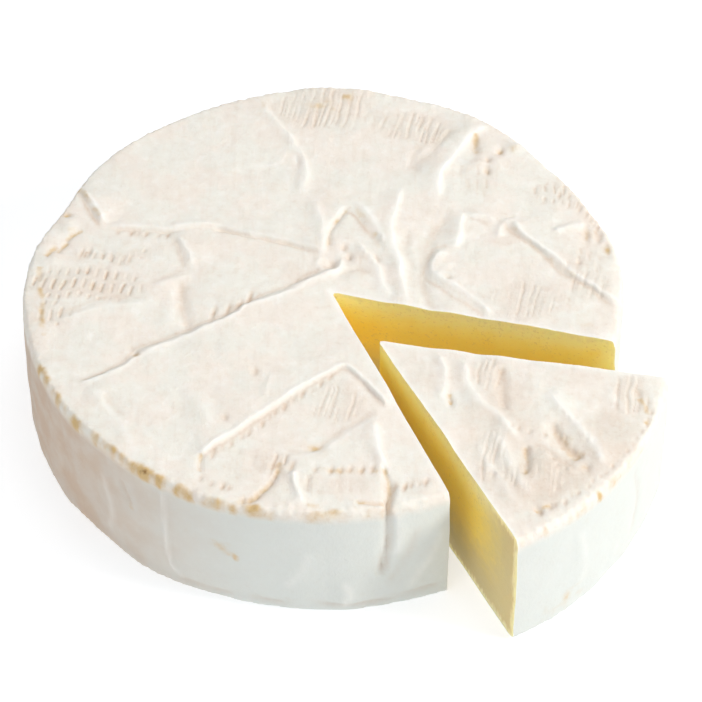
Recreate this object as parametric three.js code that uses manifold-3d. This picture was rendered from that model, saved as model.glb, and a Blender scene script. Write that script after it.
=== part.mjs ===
// A soft-ripened cheese wheel with one wedge cut and drawn partly out of its notch.
//
// Millimetres, +Z up. The wheel is modelled about its own axis, cut with one prism, and the
// wedge that the prism takes out is turned a little and slid outwards. The whole group is then
// moved so that the origin is the middle of its footprint box, on the face that it rests on.

import * as THREE from "three";
import { mergeVertices } from "three/addons/utils/BufferGeometryUtils.js";
import Module from "manifold-3d";

// Driving dimensions
const WHEEL_RADIUS = 71.5; // at half height, where the side is widest
const WHEEL_HEIGHT = 35;
const TOP_EDGE_RADIUS = 1.5;
const BASE_EDGE_RADIUS = 1.6;
const SIDE_BULGE = 1.2; // how far the side swells at half height
const TURN_STEPS = 96; // facets round the wheel
const ARC_STEPS = 5; // facets on each rounded stretch of the profile

// Places where the rim was pressed in or swells out: degrees, millimetres inwards, degrees
const DENTS = [
  { at: 156, depth: 1.9, width: 9 },
  { at: 128, depth: 0.7, width: 22 },
  { at: 104, depth: 0.6, width: 5 },
  { at: 38, depth: 1.4, width: 8 },
  { at: 24, depth: 0.9, width: 6 },
  { at: -137, depth: 0.5, width: 8 },
  { at: 90, depth: -0.7, width: 12 },
  { at: 60, depth: -0.6, width: 8 },
  { at: 9, depth: -0.8, width: 9 },
  { at: 181, depth: -0.4, width: 14 },
];

// The two knife cuts meet at CUT_POINT, close to the axis
const CUT_POINT = new THREE.Vector2(1.9, -1.3);
const CUT_START = -67; // degrees, direction of the first cut
const CUT_END = -13.7; // degrees, direction of the second cut
const WEDGE_TURN = 3.6; // degrees that the wedge is turned about its tip
const WEDGE_PULL = 19.3; // how far its tip is drawn out
const PULL_DIRECTION = -55.6; // degrees

const radians = THREE.MathUtils.degToRad;

// How far out the rim is in one direction, in millimetres
function rimRadius(angle) {
  let radius = WHEEL_RADIUS;
  for (const { at, depth, width } of DENTS) {
    const turn = angle - radians(at);
    const offset = Math.atan2(Math.sin(turn), Math.cos(turn)) / radians(width);
    radius -= depth * Math.exp(-offset * offset);
  }
  return radius;
}

// Half of the wheel's section, from the axis at the base round to the axis at the top
function wheelProfile() {
  const half = WHEEL_HEIGHT / 2;
  const side = WHEEL_RADIUS - SIDE_BULGE;
  const path = new THREE.Path();
  path.moveTo(0, 0);
  path.lineTo(side - BASE_EDGE_RADIUS, 0);
  path.absarc(side - BASE_EDGE_RADIUS, BASE_EDGE_RADIUS, BASE_EDGE_RADIUS, -Math.PI / 2, 0);
  path.quadraticCurveTo(side + 2 * SIDE_BULGE, half, side, WHEEL_HEIGHT - TOP_EDGE_RADIUS);
  path.absarc(side - TOP_EDGE_RADIUS, WHEEL_HEIGHT - TOP_EDGE_RADIUS, TOP_EDGE_RADIUS, 0, Math.PI / 2);
  path.lineTo(0, WHEEL_HEIGHT);
  return path.getPoints(ARC_STEPS);
}

// The uncut wheel, with the rim's dents, standing on the plane z = 0
function wheelGeometry() {
  const geometry = new THREE.LatheGeometry(wheelProfile(), TURN_STEPS);
  geometry.rotateX(Math.PI / 2);
  const place = geometry.attributes.position;
  for (let i = 0; i < place.count; i++) {
    const scale = rimRadius(Math.atan2(place.getY(i), place.getX(i))) / WHEEL_RADIUS;
    place.setXY(i, place.getX(i) * scale, place.getY(i) * scale);
  }
  return geometry;
}

// The upright prism between the two knife cuts, longer and taller than the wheel
function cutGeometry() {
  const reach = 2 * WHEEL_RADIUS;
  const clearance = 5;
  const outline = new THREE.Shape([
    CUT_POINT,
    new THREE.Vector2(Math.cos(radians(CUT_START)), Math.sin(radians(CUT_START)))
      .multiplyScalar(reach)
      .add(CUT_POINT),
    new THREE.Vector2(Math.cos(radians(CUT_END)), Math.sin(radians(CUT_END)))
      .multiplyScalar(reach)
      .add(CUT_POINT),
  ]);
  const prism = new THREE.ExtrudeGeometry(outline, {
    depth: WHEEL_HEIGHT + 2 * clearance,
    bevelEnabled: false,
  });
  return prism.translate(0, 0, -clearance);
}

const wasm = await Module();
wasm.setup();

// A closed three.js geometry as a manifold-3d solid
function toSolid(geometry) {
  const bare = geometry.clone();
  bare.deleteAttribute("normal");
  bare.deleteAttribute("uv");
  const merged = mergeVertices(bare, 1e-3);
  return new wasm.Manifold(
    new wasm.Mesh({
      numProp: 3,
      vertProperties: merged.attributes.position.array,
      triVerts: new Uint32Array(merged.index.array),
    }),
  );
}

// A manifold-3d solid as a three.js geometry
function toGeometry(solid) {
  const mesh = solid.getMesh();
  const geometry = new THREE.BufferGeometry();
  geometry.setAttribute("position", new THREE.BufferAttribute(mesh.vertProperties, 3));
  geometry.setIndex(new THREE.BufferAttribute(mesh.triVerts, 1));
  geometry.computeVertexNormals();
  return geometry;
}

const rind = new THREE.MeshStandardMaterial({ color: 0xefe8dd, roughness: 0.85, metalness: 0 });
const wedgeRind = rind.clone();

const wholeWheel = toSolid(wheelGeometry());
const cut = toSolid(cutGeometry());

const cutWheel = new THREE.Mesh(toGeometry(wholeWheel.subtract(cut)), rind);
cutWheel.name = "cut_wheel";

// The wedge's geometry is moved so that its tip is its own origin, and its mesh carries the place
const wedge = new THREE.Mesh(toGeometry(wholeWheel.intersect(cut)), wedgeRind);
wedge.name = "wedge";
wedge.geometry.translate(-CUT_POINT.x, -CUT_POINT.y, 0);
wedge.rotation.z = radians(WEDGE_TURN);
wedge.position.set(
  CUT_POINT.x + WEDGE_PULL * Math.cos(radians(PULL_DIRECTION)),
  CUT_POINT.y + WEDGE_PULL * Math.sin(radians(PULL_DIRECTION)),
  0,
);

// The wheel's own frame, moved so that the footprint box is centred on the origin
const cheese = new THREE.Group();
cheese.add(cutWheel, wedge);
const footprint = new THREE.Box3().setFromObject(cheese, true);
cheese.position.set(
  -(footprint.min.x + footprint.max.x) / 2,
  -(footprint.min.y + footprint.max.y) / 2,
  -footprint.min.z,
);

const part = new THREE.Group();
part.add(cheese);

export default part;
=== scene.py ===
# %% [markdown]
# # A cut wheel of soft-ripened cheese
# A small wheel of soft cheese stands on a pale floor with one wedge cut and drawn partly out of its notch.
# Its white rind is wrinkled where the young cheese sank on its draining mat, and the mat's ribs are
# printed in it. Inside, the paste is golden and a little glossy.
#
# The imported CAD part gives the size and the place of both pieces. In this lesson the whole wheel is
# modelled once, its rind is sculpted by painted weights and Displace modifiers, and it is then cut with a
# Boolean, as a knife cuts the real one. That way the folds run on across the cut, from wheel to wedge.

# %% Load the frame
import math

import bpy
import numpy as np
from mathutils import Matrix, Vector


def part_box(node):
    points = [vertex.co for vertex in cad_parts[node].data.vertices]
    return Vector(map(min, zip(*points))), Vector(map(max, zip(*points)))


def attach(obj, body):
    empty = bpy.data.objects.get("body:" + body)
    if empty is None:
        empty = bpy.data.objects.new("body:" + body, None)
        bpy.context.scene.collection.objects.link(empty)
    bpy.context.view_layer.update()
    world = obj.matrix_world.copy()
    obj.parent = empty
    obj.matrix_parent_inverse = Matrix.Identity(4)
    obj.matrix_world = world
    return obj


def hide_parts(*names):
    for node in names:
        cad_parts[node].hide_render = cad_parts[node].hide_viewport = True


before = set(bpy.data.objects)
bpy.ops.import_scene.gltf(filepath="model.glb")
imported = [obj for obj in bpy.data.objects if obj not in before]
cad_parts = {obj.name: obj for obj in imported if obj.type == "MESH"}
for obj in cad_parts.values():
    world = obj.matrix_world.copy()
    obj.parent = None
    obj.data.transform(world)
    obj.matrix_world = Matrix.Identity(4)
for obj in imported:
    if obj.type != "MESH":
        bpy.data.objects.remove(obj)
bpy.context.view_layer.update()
MM = 0.001

# %% [markdown]
# ## Where the wheel's axis is
# All sculpting is easier around the wheel's own axis, so the wheel is modelled at the world's origin and
# moved to its place at the very end. The axis comes from the CAD node's box: the wheel's left and back
# sides are whole, so the axis is a known reach in from each, which is the radius and a little for the
# uneven rim.

# %% Sizes
RADIUS = 71.5
HEIGHT = 35.0
LEFT_REACH = 71.85
BACK_REACH = 72.12
wheel_low, wheel_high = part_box("cut_wheel")
AXIS = Vector((wheel_low.x + LEFT_REACH * MM, wheel_high.y - BACK_REACH * MM, wheel_low.z))
print("wheel axis at", [round(v / MM, 2) for v in AXIS], "mm")

# %% [markdown]
# ## The camera
# A long lens from well back keeps the wheel's sides nearly upright. The camera looks along +Y and down.
# It is made early, before any piece is shaped.

# %% Camera
VIEW_DOWN = math.radians(46.34)
VIEW_DISTANCE = 0.8431
VIEW_TARGET = AXIS + Vector((6.69, -4.32, 17.5)) * MM
LENS = 179.5


def add_camera():
    data = bpy.data.cameras.new("camera")
    data.lens = LENS
    data.sensor_width = 36.0
    data.clip_start = 0.01
    data.clip_end = 100.0
    camera = bpy.data.objects.new("camera", data)
    bpy.context.scene.collection.objects.link(camera)
    away = Vector((0.0, -math.cos(VIEW_DOWN), math.sin(VIEW_DOWN)))
    camera.location = VIEW_TARGET + away * VIEW_DISTANCE
    camera.rotation_euler = (math.pi / 2 - VIEW_DOWN, 0.0, 0.0)
    bpy.context.scene.camera = camera
    return camera


camera = add_camera()
print("camera at", [round(v, 3) for v in camera.location])


# %% [markdown]
# ## Small helpers for working in code
# An operator acts on everything that is selected, so each step starts with nothing selected and picks
# its own object. Faces and edges are picked by their place, never by their number.

# %% Helpers for objects and modifiers
def only(piece):
    """Selects one object and nothing else."""
    if bpy.context.mode != "OBJECT":
        bpy.ops.object.mode_set(mode="OBJECT")
    bpy.ops.object.select_all(action="DESELECT")
    piece.select_set(True)
    bpy.context.view_layer.objects.active = piece
    return piece


def apply_modifier(piece, kind, **settings):
    """Adds a modifier, gives it its settings and applies it."""
    only(piece)
    modifier = piece.modifiers.new(kind.lower(), kind)
    for name, value in settings.items():
        setattr(modifier, name, value)
    bpy.ops.object.modifier_apply(modifier=modifier.name)


def rows_of(items, name):
    """Three numbers of every vertex or face, one row each."""
    flat = np.empty(len(items) * 3, np.float32)
    items.foreach_get(name, flat)
    return flat.reshape(-1, 3).astype(float)


def points_of(piece):
    """The vertices of a piece in millimetres."""
    return rows_of(piece.data.vertices, "co") / MM


def move_points(piece, places):
    """Puts the vertices of a piece at new places, given in millimetres."""
    piece.data.vertices.foreach_set("co", (places * MM).astype(np.float32).ravel())
    piece.data.update()


# %% Helpers for soft shapes
def smooth_step(value, low, high):
    """0 below low, 1 above high and a soft ramp between."""
    t = np.clip((value - low) / (high - low), 0.0, 1.0)
    return t * t * (3.0 - 2.0 * t)


def bell(gap, width):
    """1 where the gap is nothing, and almost 0 from two widths on."""
    return np.exp(-((gap / width) ** 2))


def oval(gap_x, gap_y, size):
    """The same in two directions, each with its own half-width."""
    return np.exp(-((gap_x / size[0]) ** 2 + (gap_y / size[1]) ** 2))


def direction(degrees):
    """The level direction at an angle, from +X towards +Y."""
    return np.array([math.cos(math.radians(degrees)), math.sin(math.radians(degrees))])


def angle_of(x, y):
    """The angle around the wheel's axis in degrees."""
    return np.degrees(np.arctan2(y, x))


def angle_between(angle, other):
    return (angle - other + 180.0) % 360.0 - 180.0


# %% [markdown]
# ## Noise for uneven surfaces
# Nothing on a cheese is even. This value noise gives the same soft random field each time: random
# numbers on a grid, with a smooth ramp between neighbours. The seed picks the field.

# %% Noise
GRID = 128


def noise(x, y, size, seed):
    """Soft random values from -1 to 1, with bumps about `size` across."""
    table = np.random.default_rng(seed).uniform(-1.0, 1.0, (GRID, GRID))
    u = x / size + 31.7
    v = y / size + 17.3
    column = np.floor(u).astype(int)
    row = np.floor(v).astype(int)
    s = u - column
    t = v - row
    s = s * s * (3.0 - 2.0 * s)
    t = t * t * (3.0 - 2.0 * t)
    a = table[row % GRID, column % GRID]
    b = table[row % GRID, (column + 1) % GRID]
    c = table[(row + 1) % GRID, column % GRID]
    d = table[(row + 1) % GRID, (column + 1) % GRID]
    return (a * (1 - s) + b * s) * (1 - t) + (c * (1 - s) + d * s) * t


# %% [markdown]
# ## Lines drawn on the rind
# Folds, steps and creases are lines. Each one is a few points in millimetres from the wheel's axis, and a
# smooth curve is run through them. For every vertex the nearest place on the curve is found: how far
# away it is, on which side, and how far along. A ridge, a step or a stain is then a simple formula.

# %% Curves and the distance to them
def smooth_curve(points, spacing=1.0):
    """A Catmull-Rom curve through the points, as closely spaced samples."""
    p = np.array(points, float)
    p = np.vstack([2 * p[0] - p[1], p, 2 * p[-1] - p[-2]])
    samples = []
    for i in range(1, len(p) - 2):
        count = max(2, int(np.hypot(*(p[i + 1] - p[i])) / spacing))
        t = np.linspace(0.0, 1.0, count, endpoint=False)[:, None]
        line = 2 * p[i] + (p[i + 1] - p[i - 1]) * t
        line = line + (2 * p[i - 1] - 5 * p[i] + 4 * p[i + 1] - p[i + 2]) * t**2
        line = line + (3 * p[i] - p[i - 1] - 3 * p[i + 1] + p[i + 2]) * t**3
        samples.append(0.5 * line)
    return np.vstack(samples + [p[-2:-1]])


def beside(x, y, points, reach):
    """The places near a curve, their distance (above 0 on its left), mm along it, and its length."""
    curve = smooth_curve(points)
    low = curve.min(0) - reach
    high = curve.max(0) + reach
    near = np.nonzero((x > low[0]) & (x < high[0]) & (y > low[1]) & (y < high[1]))[0]
    if not len(near):
        return near, np.zeros(0), np.zeros(0), 1.0
    away = np.stack([x[near], y[near]], -1)[:, None, :] - curve[None, :, :]
    distance = np.hypot(away[..., 0], away[..., 1])
    nearest = distance.argmin(1)
    rows = np.arange(len(near))
    away = away[rows, nearest]
    distance = distance[rows, nearest]
    tangent = np.gradient(curve, axis=0)[nearest]
    length = np.hypot(tangent[:, 0], tangent[:, 1])
    side = (tangent[:, 0] * away[:, 1] - tangent[:, 1] * away[:, 0]) / length
    ahead = (tangent * away).sum(1) / length
    # Past an end the plain distance counts, elsewhere the distance square to the curve.
    past = ((nearest == 0) & (ahead < 0)) | ((nearest == len(curve) - 1) & (ahead > 0))
    side = np.where(past, np.where(side < 0, -distance, distance), side)
    share = np.clip((nearest + np.clip(ahead / length, -0.5, 0.5)) / (len(curve) - 1), 0.0, 1.0)
    steps = np.diff(curve, axis=0)
    total = np.hypot(steps[:, 0], steps[:, 1]).sum()
    return near, side, share * total, total


def taper(along, length, start, end):
    """Fades a line in over its first mm and out over its last."""
    return smooth_step(along, 0.0, start) * smooth_step(length - along, 0.0, end)


def uneven(along, amount, size, seed):
    """A factor near 1 that wanders along a line."""
    return 1.0 + amount * noise(along, np.zeros_like(along), size, seed)


# %% Relief made of lines and spots
# A line that rises or sinks this much, in mm, is marked in full; a hollow this deep counts as a groove,
# which is darkened partly as painted shade.
FULL_MARK = 0.8
DARK_HOLLOW = -0.4
# Each line has its own random width and fading, from these seeds on.
WIDTH_SEED = 200
FADE_SEED = 300


class Relief:
    """Heights in mm over places x, y, with where they make a crest and where a groove; the rind whitens
    crests partly as painted highlight and darkens grooves partly as painted shade.
    """

    def __init__(self, x, y):
        self.x = x
        self.y = y
        self.height = np.zeros_like(x)
        self.crest = np.zeros_like(x)
        self.groove = np.zeros_like(x)
        self.lines = 0

    def ridge(self, points, rise, left, right):
        """A raised lip, or a crease where the rise is below zero; each side has its own width."""
        self.lines += 1
        near, side, along, length = beside(self.x, self.y, points, 3.0 * max(left, right))
        width = np.where(side > 0, left, right) * uneven(along, 0.3, 5.0, WIDTH_SEED + self.lines)
        fade = taper(along, length, 0.15 * length, 0.15 * length)
        fade = fade * uneven(along, 0.35, 4.0, FADE_SEED + self.lines)
        self.height[near] += rise * fade * bell(side, width)
        thin = bell(side, np.minimum(width, 1.0))
        # A lip is whitened partly as painted highlight, and a crease is darkened partly as painted shade.
        mark = self.crest if rise > 0 else self.groove
        mark[near] = np.maximum(mark[near], fade * thin * min(1.0, abs(rise) / FULL_MARK))

    def step(self, points, rise, edge, reach, lip):
        """A plate that is highest along the left of a line and sinks back over its reach."""
        self.lines += 1
        near, side, along, length = beside(self.x, self.y, points, 2.2 * reach)
        wide = edge * uneven(along, 0.45, 6.0, WIDTH_SEED + self.lines)
        behind = np.maximum(side, 0.0)
        # The ends fade out more slowly further back, so the plate has no corner there.
        ramp = 2.5 + 0.9 * behind
        fade = taper(along, length, ramp, ramp) * uneven(along, 0.25, 5.0, FADE_SEED + self.lines)
        lift = smooth_step(side, -0.6 * wide, 0.6 * wide) * bell(behind, reach)
        brow = bell(side - 0.6 * wide, 0.7)
        foot = bell(side + 0.7 * wide, 0.6)
        self.height[near] += fade * (rise * lift + lip * brow)
        strong = min(1.0, rise / FULL_MARK) * fade
        # The brow is whitened partly as painted highlight.
        self.crest[near] = np.maximum(self.crest[near], strong * brow)
        # The foot is darkened partly as painted shade.
        self.groove[near] = np.maximum(self.groove[near], strong * foot)

    def dome(self, centre, size, rise):
        """One soft lump or hollow, with its two half-widths."""
        shape = oval(self.x - centre[0], self.y - centre[1], size)
        self.height += rise * shape
        # A deep hollow is darkened partly as painted shade.
        if rise < DARK_HOLLOW:
            self.groove = np.maximum(self.groove, 0.8 * shape)


# %% [markdown]
# ## The body of the wheel
# The curd filled a round mould, so the wheel is a low cylinder with a rounded top edge and a rounder base.
# It begins as a cylinder primitive. Its edges are bevelled, and a voxel Remesh turns it into even small
# squares, which sculpting needs. The top, where the folds are, is then subdivided once more.

# %% The blank wheel
SIDES = 256
TOP_EDGE = 1.2
BASE_EDGE = 1.6
EDGE_STEPS = 6
VOXEL = 1.2


def rim_edges(mesh, level):
    """Selects the ring of edges at a height, in edit mode's own selection."""
    for vertex in mesh.vertices:
        vertex.select = abs(vertex.co.z / MM - level) < 0.01
    for edge in mesh.edges:
        edge.select = all(mesh.vertices[i].select for i in edge.vertices)
    for face in mesh.polygons:
        face.select = False


def blank_wheel():
    """A cylinder with bevelled edges, remeshed into even small squares."""
    bpy.ops.object.select_all(action="DESELECT")
    bpy.ops.mesh.primitive_cylinder_add(
        vertices=SIDES, radius=RADIUS * MM, depth=HEIGHT * MM, location=(0, 0, HEIGHT * MM / 2)
    )
    wheel = bpy.context.object
    wheel.name = "cheese_wheel"
    bpy.ops.object.transform_apply(location=True, rotation=True, scale=True)
    for level, size in ((HEIGHT, TOP_EDGE), (0.0, BASE_EDGE)):
        rim_edges(wheel.data, level)
        bpy.ops.object.mode_set(mode="EDIT")
        bpy.ops.mesh.select_mode(type="EDGE")
        bpy.ops.mesh.bevel(offset=size * MM, segments=EDGE_STEPS, affect="EDGES")
        bpy.ops.object.mode_set(mode="OBJECT")
    apply_modifier(wheel, "REMESH", mode="VOXEL", voxel_size=VOXEL * MM)
    return wheel


wheel = blank_wheel()
print("blank wheel:", len(wheel.data.polygons), "faces")


# %% Working on chosen faces
def face_centres(piece):
    """The middle of each face in millimetres."""
    return rows_of(piece.data.polygons, "center") / MM


def edit_faces(piece, chosen):
    """Opens edit mode with the chosen faces selected and nothing else."""
    only(piece)
    bpy.context.tool_settings.mesh_select_mode = (False, False, True)
    for items in (piece.data.vertices, piece.data.edges):
        items.foreach_set("select", np.zeros(len(items), bool))
    piece.data.polygons.foreach_set("select", chosen)
    bpy.ops.object.mode_set(mode="EDIT")


def refine(piece, chosen):
    """Subdivides the chosen faces once."""
    edit_faces(piece, chosen)
    bpy.ops.mesh.subdivide(number_cuts=1)
    bpy.ops.object.mode_set(mode="OBJECT")
    print(piece.name, "refined to", len(piece.data.polygons), "faces")


refine(wheel, face_centres(wheel)[:, 2] > HEIGHT - TOP_EDGE - 1.0)

# %% [markdown]
# The base is flat and seldom seen, so its squares are thinned out to leave the budget to the top.

# %% Thinning the base
BASE_RING = 6.0
BASE_SHARE = 0.15

middles = face_centres(wheel)
flat_base = (middles[:, 2] < 0.3) & (np.hypot(middles[:, 0], middles[:, 1]) < RADIUS - BASE_RING)
edit_faces(wheel, flat_base)
bpy.ops.mesh.decimate(ratio=BASE_SHARE)
bpy.ops.object.mode_set(mode="OBJECT")
print("base thinned to", len(wheel.data.polygons), "faces in all")

# %% [markdown]
# ## The outline
# A fresh cheese is soft, so the rim has a few shallow dents where it was held and turned. Each is a bell
# curve of the angle around the wheel, and the whole height of the side moves with it. The side also
# swells a little at half height.

# %% Rim dents and bulging side
# angle in degrees, depth in mm, width in degrees
DENTS = [
    (156, 1.9, 9), (128, 0.7, 22), (104, 0.6, 5), (38, 1.4, 8), (24, 0.9, 6),
    (-137, 0.5, 8), (90, -0.7, 12), (60, -0.6, 8), (9, -0.8, 9), (181, -0.4, 14),
]
BULGE = 0.4


def rim_radius(angle):
    """How far the rim is from the axis, dents and all."""
    radius = np.full_like(angle, RADIUS)
    for at, depth, width in DENTS:
        radius -= depth * bell(angle_between(angle, at), width)
    return radius


def shape_outline(piece):
    """Moves the side in at the dents and out at half height."""
    p = points_of(piece)
    swell = BULGE * (1.0 - (1.0 - 2.0 * p[:, 2] / HEIGHT) ** 2)
    scale = rim_radius(angle_of(p[:, 0], p[:, 1])) / RADIUS * (RADIUS - BULGE + swell) / RADIUS
    p[:, :2] *= scale[:, None]
    move_points(piece, p)


shape_outline(wheel)
print("rim dented in", len(DENTS), "places")

# %% [markdown]
# ## Where the knife went
# The knife went in near the middle and out at the front right. The wedge was then turned a little about its
# tip and drawn out. These values come before the folds, because the wedge's own folds are easiest to place
# where they lie now, and `before_cut` takes such places back to where they were in the whole wheel.

# %% Values of the cut
CUT_POINT = np.array([1.9, -1.3])
CUT_START = -67.0
CUT_END = -13.7
CUTS = (CUT_START, CUT_END)
WEDGE_TURN = 3.6
WEDGE_PULL = 19.3
PULL_DIRECTION = -55.6


def before_cut(places):
    """A place on the drawn-out wedge, or a line of them, as it was in the whole wheel."""
    gap = np.array(places, float) - CUT_POINT - WEDGE_PULL * direction(PULL_DIRECTION)
    across = gap @ direction(WEDGE_TURN)
    up = gap @ direction(WEDGE_TURN + 90.0)
    return CUT_POINT + np.stack([across, up], -1)


def in_wheel(rows):
    """A list that describes the drawn-out wedge, for the whole wheel."""
    return [(before_cut(place), *rest) for place, *rest in rows]


# %% [markdown]
# ## Folds in the top
# The top sank while the cheese drained, and its skin broke into plates that slid over each other. A step
# has its high side on the left of its line. A ridge is a raised lip: one side is steep and the other runs
# out slowly. A crease is a ridge that goes down. The lists run region by region.

# %% Lines that are both creased and stained
RIND_CURL = [(-20.5, -67.3), (-16, -66.7), (-12.6, -63.4), (-10.5, -59.9), (-9.3, -54.8)]
FRONT_HOOK = [(-27.4, -52.6), (-28, -56), (-27.6, -58.8)]
CRACK_BRANCH = [(7.4, -67.6), (11, -67.8), (14.6, -68.2)]
ARCH_CREASE = [(0.9, 14), (1.8, 20), (4.2, 25), (6.2, 27)]
RUBBED_RIM = [
    [(-57.8, 20.3), (-60.6, 18.4), (-62.6, 16.2)],
    [(-61.4, 16.4), (-63, 14.2), (-64.2, 12)],
    [(-63.8, 15.2), (-65.6, 12.8), (-66.8, 10.4)],
]
WEDGE_CRACK = [(46.7, -50), (46.6, -55), (46.2, -60)]

# %% Edges of the plates
# line, rise, width of the edge, reach of the plate, lip
STEPS = [
    # The long plate across the left half, whose edge faces the back left.
    (
        [(4, 7.5), (-3, 3.8), (-8, -0.4), (-18, -5.6), (-22, -9.3), (-34, -16), (-42, -20.6), (-46, -24.7),
         (-53, -29.3), (-57.5, -31)],
        0.6, 1.4, 13, 0.15,
    ),
    # The front plate, whose edge faces the front right and then turns down to the notch.
    (
        [(-28.5, -54.5), (-24, -49.9), (-18.7, -45.4), (-12, -39.3), (-3.7, -32), (3, -26.9), (4.9, -26),
         (6.4, -26.8), (9.7, -30.3), (12.2, -34), (15.2, -38.8)],
        0.6, 0.95, 12, 0.2,
    ),
    # The low plate in front of it.
    ([(14, -40), (10, -43), (5.5, -46.5), (-0.3, -50.7), (-4, -52.5), (-9, -53)], 0.32, 1.4, 9, 0.0),
    # Left plates, with ribs behind them.
    ([(-31.5, 5.8), (-36, 3.9), (-42, 1)], 0.3, 1.8, 7, 0.15),
    ([(-41, -4.4), (-49.8, -3.8), (-56, -6.6), (-63.7, -10.4)], 0.35, 1.8, 9, 0.1),
    ([(-36, 18.5), (-34.2, 13.3), (-32.6, 10), (-31.5, 6)], 0.45, 1.4, 8, 0.1),
    # The back left plate and the long line to the centre.
    ([(-59.5, 34.5), (-57.3, 30), (-55.3, 26), (-52.6, 21.7)], 0.75, 1.4, 7, 0.1),
    (
        [(-52.6, 21.2), (-38.7, 20.3), (-33, 21), (-28, 21.8), (-23.7, 20.6), (-16.4, 18.2), (-6.4, 14.6),
         (0, 12.9)],
        0.3, 0.9, 9, 0.08,
    ),
    # The sunken arch near the centre.
    ([(-0.6, 10), (0.5, 16), (1.6, 21), (3.6, 25.3), (5.6, 27.6), (7.4, 28)], 0.35, 0.9, 5, 0.0),
    ([(5.2, 27.8), (7.2, 27.3), (9.6, 24), (12.4, 19), (15.2, 14)], 0.65, 2.4, 4, 0.0),
    # The raised patch right of the middle.
    (
        [(31, 12.8), (27.5, 12.6), (25.8, 9.5), (25.2, 5), (27.4, 2.2), (30.8, -0.7), (34.7, -4.5),
         (39.5, -10)],
        0.55, 1.8, 4.5, 0.15,
    ),
    # The long edge at the right, which faces the front left.
    ([(33.8, 24.8), (39.1, 23.9), (42.2, 20.8)], 0.4, 1.2, 5, 0.05),
    ([(44.2, 23.4), (45.4, 21.6), (54, 10.8), (59, 5), (64.7, -0.6), (70, -6.5)], 0.65, 1.3, 10, 0.2),
]

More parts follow.
